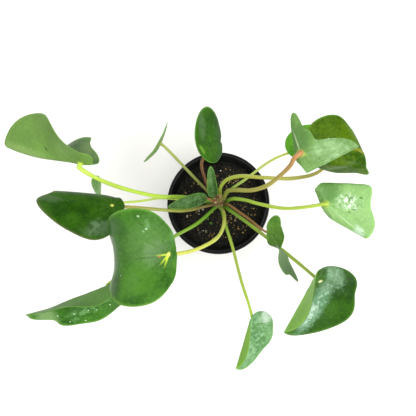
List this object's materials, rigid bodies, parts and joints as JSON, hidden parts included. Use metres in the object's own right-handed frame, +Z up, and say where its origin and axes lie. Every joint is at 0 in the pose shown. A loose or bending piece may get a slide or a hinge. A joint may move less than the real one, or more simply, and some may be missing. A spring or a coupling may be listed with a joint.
{
  "type": "potted pilea plant",
  "caption": "Potted pilea: long arching stalks carry round, cupped glossy leaves out from a short stem in a round black nursery pot.",
  "frame": {"origin": "centre of the flat underside of the pot", "axes": "+Z up out of the pot; +X towards the side with the folded light green leaf pair, +Y a quarter turn anticlockwise from it, seen from above"},
  "size_m": [0.3123, 0.2459, 0.2127],
  "materials": {
    "pot": "black, slightly satin, dusty",
    "soil": "moist dark potting mix with bark chips and white perlite",
    "stem": "tan brown, dry scales",
    "leaf": "waxy dark green upper side, paler matte underside",
    "stalk_green": "smooth lime green",
    "stalk_red": "smooth olive to reddish brown"
  },
  "bodies": {
    "root": {"pot": "pot", "soil": "soil", "main_stem": "stem", "leaf_01": "leaf", "leaf_02": "leaf", "leaf_03": "leaf", "leaf_04": "leaf", "leaf_05": "leaf", "leaf_06": "leaf", "leaf_07": "leaf", "leaf_08": "leaf", "leaf_09": "leaf", "leaf_10": "leaf", "leaf_11": "leaf", "leaf_12": "leaf", "leaf_13": "leaf", "leaf_14": "leaf", "young_leaf_1": "leaf", "young_leaf_2": "leaf", "stalk_01": "stalk_green", "stalk_02": "stalk_red", "stalk_03": "stalk_green", "stalk_04": "stalk_green", "stalk_05": "stalk_green", "stalk_06": "stalk_green", "stalk_07": "stalk_red", "stalk_08": "stalk_red", "stalk_09": "stalk_green", "stalk_10": "stalk_red", "stalk_11": "stalk_green", "stalk_12": "stalk_red", "stalk_13": "stalk_green", "stalk_14": "stalk_green", "stalk_15": "stalk_red", "stalk_16": "stalk_red"}
  },
  "joints": []
}
